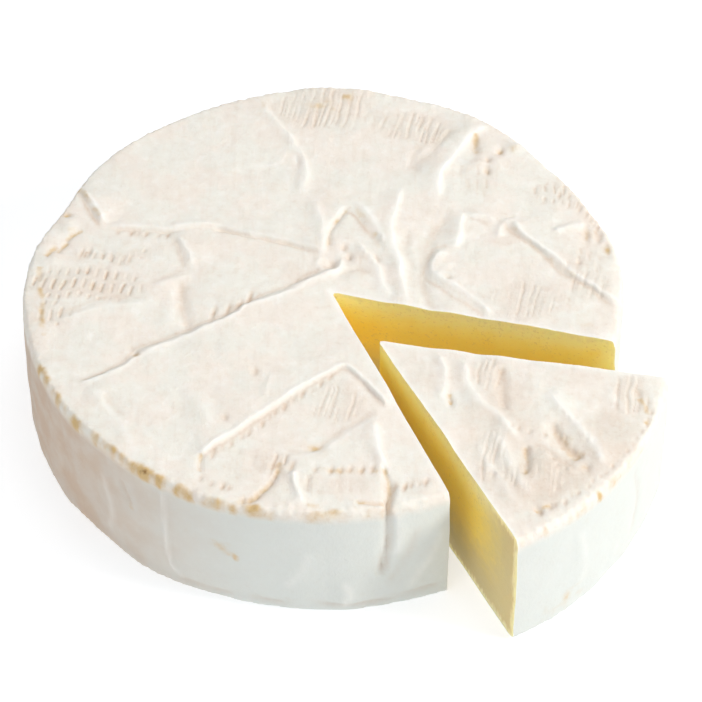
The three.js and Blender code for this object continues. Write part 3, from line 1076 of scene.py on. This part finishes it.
def beside_cut(places, cut):
    """How far each place is along one wall of the notch, and how far off that wall."""
    from_tip = places[:, :2] - CUT_POINT
    return from_tip @ direction(cut), np.abs(from_tip @ direction(cut + 90.0))


def measure(piece):
    """Stores all that the materials need to know."""
    p = points_of(piece)
    x, y, z = p.T
    under_side = rim_radius(angle_of(x, y)) - np.hypot(x, y)
    here = folds(x, y)
    under_top = HEIGHT - SINK + here.height - z
    store(piece, "depth", np.clip(np.minimum(np.minimum(under_side, under_top), z), 0.0, 40.0))
    top = top_share(z)
    tinted = np.maximum(PATCH_TINT * np.maximum(*rib_masks(x, y)), patch_mask(x, y, in_wheel(WEDGE_TAN)))
    store(piece, "ribs", np.maximum(rib_strokes(x, y), tinted) * top)
    _, lip, crease = side_relief(x, y, z)
    # Crests and side lips, whitened partly as painted highlight.
    store(piece, "crest", here.crest * top + 0.8 * lip * (1.0 - top))
    # Creases, hollows and the feet of steps, darkened partly as painted shade.
    store(piece, "groove", here.groove * top + 0.8 * crease * (1.0 - top))
    # Where the side's grey and, towards the left, its tan go, both partly painted shade.
    store(piece, "side", smooth_step(HEIGHT - z, 1.5, 4.5))
    store(piece, "left", smooth_step(-x, 10.0, 70.0))
    store(piece, "stain", np.clip(stain(x, y, z) + side_stain(x, y, z), 0.0, 1.0))
    walls = [beside_cut(p, cut) for cut in CUTS]
    # Painted highlight: a white band along the top's cut edges.
    near_cut = np.maximum(*[(along > -1.0) * bell(off, CUT_FRINGE) for along, off in walls])
    store(piece, "cut_edge_highlight", near_cut * top)
    # Only the front cut is paler towards the side, as painted shade; the back one is golden all along.
    on_back_cut = walls[1][1] < 2.0
    store(piece, "inner", np.clip(under_side + 60.0 * on_back_cut, 0.0, 60.0))


def paste_faces(piece):
    """Gives the paste material to the faces that the cut made."""
    polygons = piece.data.polygons
    centres = face_centres(piece)
    normals = rows_of(polygons, "normal")
    chosen = np.zeros(len(polygons), bool)
    for cut in CUTS:
        along, off = beside_cut(centres, cut)
        facing = np.abs(normals[:, :2] @ direction(cut + 90.0))
        chosen |= (off < WALL_NEAR) & (along > -1.5) & (facing > WALL_FACING)
    polygons.foreach_set("material_index", chosen.astype(np.int32))
    return int(chosen.sum())


for piece in (cheese_wheel, cheese_wedge):
    measure(piece)
    print(piece.name, "paste faces:", paste_faces(piece))

# %% [markdown]
# ## Placing the pieces
# The wedge is turned a little about its tip and drawn out of the notch. Then both pieces move from the
# world's origin to the wheel's axis, and the place goes into the mesh, so each object sits at the origin.

# %% Place
def place(piece, turn=0.0, pull=(0.0, 0.0)):
    """Turns a piece about the tip of the cut, pulls it out and carries it to the wheel's axis."""
    only(piece)
    tip = Vector((CUT_POINT[0] * MM, CUT_POINT[1] * MM, 0.0))
    if turn:
        bpy.ops.transform.rotate(value=-math.radians(turn), orient_axis="Z", center_override=tip)
    shift = AXIS + Vector((pull[0] * MM, pull[1] * MM, 0.0))
    bpy.ops.transform.translate(value=shift)
    bpy.ops.object.transform_apply(location=True, rotation=True, scale=True)


place(cheese_wheel)
place(cheese_wedge, WEDGE_TURN, WEDGE_PULL * direction(PULL_DIRECTION))
for piece in (cheese_wheel, cheese_wedge):
    corners = points_of(piece)
    print(piece.name, "from", corners.min(0).round(2), "to", corners.max(0).round(2), "mm")

# %% [markdown]
# ## Writing materials as sums
# A shader is a graph of nodes. This small class wraps one socket, so that a sum written in Python adds
# the Math nodes. Any other node comes from `node`, which sets the settings first and then the sockets.

# %% The socket class
class Wire:
    """One socket of a material's tree, for sums and for making the next node."""

    def __init__(self, tree, socket=None):
        self.tree = tree
        self.socket = socket

    def node(self, kind, settings=None, sockets=None, output=0):
        made = self.tree.nodes.new(kind)
        for name, value in (settings or {}).items():
            setattr(made, name, value)
        for name, value in (sockets or {}).items():
            target = made.inputs[name]
            if isinstance(value, Wire):
                self.tree.links.new(value.socket, target)
            elif target.type == "RGBA" and len(value) == 3:
                target.default_value = (*value, 1.0)
            else:
                target.default_value = value
        return Wire(self.tree, made.outputs[output])

    def maths(self, operation, *values):
        return self.node("ShaderNodeMath", {"operation": operation}, dict(enumerate(values)))

    def __add__(self, other):
        return self.maths("ADD", self, other)

    __radd__ = __add__

    def __mul__(self, other):
        return self.maths("MULTIPLY", self, other)

    __rmul__ = __mul__

    def __sub__(self, other):
        return self.maths("SUBTRACT", self, other)

    def __rsub__(self, other):
        return self.maths("SUBTRACT", other, self)

    def ramp(self, low, high):
        """0 at low, 1 at high, with soft ends."""
        sockets = {0: self, 1: low, 2: high, 3: 0.0, 4: 1.0}
        return self.node("ShaderNodeMapRange", {"interpolation_type": "SMOOTHSTEP"}, sockets)

    def blend(self, low, high):
        """The colour low where this is 0, high where it is 1."""
        return self.node("ShaderNodeMix", {"data_type": "RGBA"}, {0: self, 6: low, 7: high}, output=2)

    def attribute(self, name):
        return self.node("ShaderNodeAttribute", {"attribute_name": name}, output=2)

    def scaled(self, place, scale, turn=0.0):
        """Places turned about the upright axis and then scaled, which stretches a pattern."""
        sockets = {"Vector": place, "Rotation": (0.0, 0.0, turn), "Scale": scale}
        return self.node("ShaderNodeMapping", sockets=sockets)

    def cloud(self, place, size, detail=3.0, roughness=0.5):
        """Fractal noise whose bumps are about `size` mm across."""
        sockets = {"Vector": place, "Scale": 1.0 / (size * MM), "Detail": detail, "Roughness": roughness}
        return self.node("ShaderNodeTexNoise", {"noise_dimensions": "3D"}, sockets)

    def bump(self, height, strength, distance):
        """Small relief that only shades; the distance is in mm."""
        sockets = {"Strength": strength, "Distance": distance * MM, "Height": height}
        return self.node("ShaderNodeBump", sockets=sockets)


def colour(red, green, blue):
    """A screen colour, 0 to 255, as the linear values that a shader needs."""
    values = []
    for part in (red, green, blue):
        part /= 255.0
        values.append(part / 12.92 if part <= 0.04045 else ((part + 0.055) / 1.055) ** 2.4)
    return tuple(values)


def begin(material):
    """Empties a material's tree and returns a wire to it, its shader and its Object coordinates."""
    material.use_nodes = True
    tree = material.node_tree
    tree.nodes.clear()
    output = tree.nodes.new("ShaderNodeOutputMaterial")
    shader = tree.nodes.new("ShaderNodeBsdfPrincipled")
    tree.links.new(shader.outputs[0], output.inputs[0])
    wire = Wire(tree)
    return wire, shader, wire.node("ShaderNodeTexCoord", output=3)


def connect(wire, shader, **sockets):
    """Gives the shader's sockets their wires or their values."""
    for name, value in sockets.items():
        target = shader.inputs[name.replace("_", " ")]
        if isinstance(value, Wire):
            wire.tree.links.new(value.socket, target)
        else:
            target.default_value = value


# %% [markdown]
# ## The bloomy rind
# The rind is a felt of white mould. It is matt, slightly translucent, and never one white: cooler where it
# is thick and warmer where the paste shows through. The mat's ribs are tan, and rubbed edges and deep
# folds go ochre. Fine fuzz is too small for the mesh, so it is a bump.
# Crests are whitened partly as painted highlight and the cut edges as painted highlight; grooves are
# darkened partly as painted shade, and the side's grey and tan are partly painted shade too.

# %% Rind material
BLOOM = colour(241, 238, 229)
BLOOM_WARM = colour(243, 235, 225)
# White of the bloom's mottles; on crests it is partly painted highlight, and on the cut edges it is painted
# highlight.
WHITE_AND_HIGHLIGHT = colour(253, 252, 247)
# The side is greyer and darker than the top: its cool tone is the rind's, and its darkness is partly painted
# shade.
SIDE_GREY_SHADED = colour(226, 229, 224)
# Towards the left the side turns darker and tan: partly the rind's tan, partly painted shade.
SIDE_TAN_SHADED = colour(211, 188, 167)
# Tan of the ribs and specks; in grooves and hollows it is partly painted shade.
TAN_AND_SHADE = colour(205, 178, 153)
MAT_TAN = colour(222, 207, 190)
STAIN_OCHRE = colour(218, 188, 138)
STAIN_BROWN = colour(160, 122, 76)


def make_rind(material):
    """The top's white and the side's grey and tan first, both partly painted shade, then what lies over
    them.
    """
    wire, shader, place = begin(material)
    blotch = wire.cloud(place, 11.0, 4.0, 0.6).ramp(0.38, 0.62)
    mottle = wire.cloud(place, 2.6, 3.0, 0.6)
    speck = wire.cloud(place, 1.1, 3.0)
    fuzz = wire.cloud(place, 0.4, 4.0, 0.65)
    streaks = wire.cloud(wire.scaled(place, (1.0, 0.13, 1.0), math.atan(RIB_LEAN)), 1.3, 2.0)
    ribs = wire.attribute("ribs")
    groove = wire.attribute("groove")
    stain_amount = wire.attribute("stain")
    side = wire.attribute("side")
    base = blotch.blend(BLOOM, BLOOM_WARM)
    cloudy = wire.cloud(place, 7.0).ramp(0.3, 0.7)
    # Painted shade, partly the rind's own tone: the side is greyer than the top, and darker and tan towards
    # the left.
    flank = (wire.attribute("left") * (0.72 + 0.36 * cloudy)).blend(SIDE_GREY_SHADED, SIDE_TAN_SHADED)
    base = side.blend(base, flank)
    top = 1.0 - side
    base = (mottle.ramp(0.5, 0.75) * (0.05 + 0.17 * top)).blend(base, MAT_TAN)
    base = (mottle.ramp(0.5, 0.25) * (0.05 + 0.3 * top)).blend(base, WHITE_AND_HIGHLIGHT)
    base = (streaks.ramp(0.52, 0.75) * (0.04 + 0.1 * top)).blend(base, MAT_TAN)
    base = (speck.ramp(0.56, 0.78) * (0.04 + 0.08 * top)).blend(base, TAN_AND_SHADE)
    # Painted shade, partly the mat's tan: creases, hollows and the feet of steps are darkened.
    base = (groove * (0.2 + 0.6 * speck)).blend(base, TAN_AND_SHADE)
    base = (ribs * (0.35 + 0.7 * speck)).blend(base, TAN_AND_SHADE)
    # Painted highlight, partly the bloom's own white: crests and side lips are whitened.
    base = (wire.attribute("crest") * 0.75).blend(base, WHITE_AND_HIGHLIGHT)
    # Painted highlight along the top's cut edges.
    base = (wire.attribute("cut_edge_highlight") * (0.3 + 0.6 * mottle)).blend(base, WHITE_AND_HIGHLIGHT)
    base = (stain_amount * (0.6 + 0.8 * speck)).ramp(0.08, 0.75).blend(base, STAIN_OCHRE)
    base = (stain_amount * (0.4 + speck)).ramp(0.7, 1.15).blend(base, STAIN_BROWN)
    bump = wire.bump(fuzz * 0.7 + speck + streaks * 0.25, 0.6, 0.18)
    connect(
        wire, shader, Base_Color=base, Normal=bump, Roughness=0.85, Specular_IOR_Level=0.25,
        Subsurface_Weight=0.12, Subsurface_Radius=(1.0, 0.8, 0.6), Subsurface_Scale=0.0012,
    )


make_rind(rind)

# %% [markdown]
# ## The paste
# The knife leaves the paste smooth and slightly moist. Just under the white rind it is pale and creamy,
# where the ripening began, and it turns golden towards the core. The depth attribute drives that. Darker
# specks and the knife's faint drag marks break the surface.
# Low down and near the side the paste's colour holds painted shade, and a faint painted glow keeps it golden
# in the narrow gap.

# %% Paste material
RIND_EDGE = colour(243, 228, 176)
PASTE_PALE = colour(252, 238, 176)
PASTE_MID = colour(252, 230, 138)
PASTE_GOLD = colour(251, 216, 94)
# Painted shade: the paste goes this duller colour low down. The same colour marks the paste's own darker
# specks.
PASTE_SHADE_AND_SPECK = colour(192, 171, 124)
# Painted shade: the front cut goes this duller colour towards the side.
PASTE_SHADED_OUTER = colour(208, 185, 130)
# Between these heights, in metres, the painted shade low down fades out.
LOW_LEVEL = 0.004
HIGH_LEVEL = 0.022
DRAG_SIZE = 25.0 / 3.0
# Painted glow: a faint emission of the paste, which keeps the narrow gap golden where the lamps reach
# little.
PASTE_PAINTED_GLOW = 0.05
PAINTED_GLOW_COLOUR = (0.8, 0.9, 0.25, 1.0)


def make_paste(material):
    """Gold at the core and paler under the rind; duller low down and near the side as painted shade, with a
    faint painted glow.
    """
    wire, shader, place = begin(material)
    depth = wire.attribute("depth")
    wander = wire.cloud(place, 3.0, 3.0) - 0.5
    soft = wire.cloud(place, 9.0, 2.0)
    grain = wire.cloud(place, 0.7, 3.0)
    hair = wire.cloud(wire.scaled(place, (1.0, 1.0, 0.2)), 1.0) - 0.5
    drag = wire.cloud(wire.scaled(place, (1.0, 1.0, 6.0)), DRAG_SIZE)
    base = (depth + wander * 3.0).ramp(1.0, 6.0).blend(PASTE_PALE, PASTE_MID)
    base = (depth + wander * 4.0 + soft * 2.0).ramp(4.0, 12.0).blend(base, PASTE_GOLD)
    level = wire.node("ShaderNodeSeparateXYZ", sockets={"Vector": place}, output=2)
    # Painted shade: duller towards the bottom of the cut faces.
    base = (level + wander * 0.006).ramp(LOW_LEVEL, HIGH_LEVEL).blend(PASTE_SHADE_AND_SPECK, base)
    # Painted shade: duller towards the side on the front cut.
    base = (wire.attribute("inner") + wander * 8.0).ramp(3.0, 24.0).blend(PASTE_SHADED_OUTER, base)
    base = (depth + hair * 4.0 + wander).ramp(0.3, 2.4).blend(RIND_EDGE, base)
    # The paste's own darker specks, in the same colour.
    base = ((grain + soft * 0.3).ramp(0.7, 0.9) * 0.3).blend(base, PASTE_SHADE_AND_SPECK)
    connect(
        wire, shader, Base_Color=base, Normal=wire.bump(drag + grain * 0.4, 0.45, 0.3),
        Roughness=0.42 + 0.2 * soft, Specular_IOR_Level=0.4, Subsurface_Weight=0.55,
        Subsurface_Radius=(1.0, 0.75, 0.35), Subsurface_Scale=0.006,
        # The paste's emission is painted glow.
        Emission_Color=PAINTED_GLOW_COLOUR, Emission_Strength=PASTE_PAINTED_GLOW,
    )


make_paste(paste)

# %% [markdown]
# ## Finishing the pieces
# Smooth shading hides the small faces, but the edge that the knife made stays crisp. Each piece rides on
# the body and stands for its CAD node.

# %% Shading and body
CRISP_ANGLE = 50.0

for piece, node in ((cheese_wheel, "cut_wheel"), (cheese_wedge, "wedge")):
    only(piece)
    bpy.ops.object.shade_smooth_by_angle(angle=math.radians(CRISP_ANGLE))
    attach(piece, "root")
    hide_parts(node)

# %% [markdown]
# ## Floor and light
# A white sweep and soft light from the right: a large lamp for the key, a weaker one from above and behind,
# and a pale sky that fills the shadows.

# %% Floor
FLOOR_SIZE = 12.0
FLOOR_WHITE = (0.62, 0.62, 0.63, 1.0)
FLOOR_GLOW = (0.97, 0.99, 1.0, 1.0)

bpy.ops.object.select_all(action="DESELECT")
bpy.ops.mesh.primitive_plane_add(size=FLOOR_SIZE, location=(0, 0, 0))
floor = bpy.context.object
floor.name = "floor"
floor_white = bpy.data.materials.new("floor_white")
floor_wire, floor_shader, _ = begin(floor_white)
connect(
    floor_wire, floor_shader, Base_Color=FLOOR_WHITE, Roughness=0.9, Specular_IOR_Level=0.1,
    Emission_Color=FLOOR_GLOW, Emission_Strength=0.56,
)
floor.data.materials.append(floor_white)


# %% Lamps and sky
def add_lamp(name, size, power, azimuth, elevation, distance, tint=(1.0, 1.0, 1.0)):
    """A square area lamp aimed at the cheese; azimuth 0 is +X and 90 is the back."""
    data = bpy.data.lights.new(name, "AREA")
    data.size = size
    data.energy = power
    data.color = tint
    lamp = bpy.data.objects.new(name, data)
    bpy.context.scene.collection.objects.link(lamp)
    across = direction(azimuth) * math.cos(math.radians(elevation))
    away = Vector((across[0], across[1], math.sin(math.radians(elevation))))
    lamp.location = VIEW_TARGET + away * distance
    lamp.rotation_euler = away.to_track_quat("Z", "Y").to_euler()
    lamp.visible_camera = False


KEY_TINT = (1.0, 0.98, 0.95)
add_lamp("key", size=0.4, power=10.7, azimuth=-12, elevation=32, distance=1.3, tint=KEY_TINT)
add_lamp("top", size=1.0, power=8.6, azimuth=80, elevation=80, distance=1.5)
add_lamp("fill", size=0.9, power=4.7, azimuth=-118, elevation=46, distance=1.3)

SKY_TINT = (0.96, 0.98, 1.0, 1.0)
SKY_STRENGTH = 0.2

scene = bpy.context.scene
sky = bpy.data.worlds.new("sky")
scene.world = sky
sky.use_nodes = True
background = sky.node_tree.nodes["Background"]
background.inputs[0].default_value = SKY_TINT
background.inputs[1].default_value = SKY_STRENGTH
scene.view_settings.view_transform = "Standard"
scene.view_settings.look = "None"
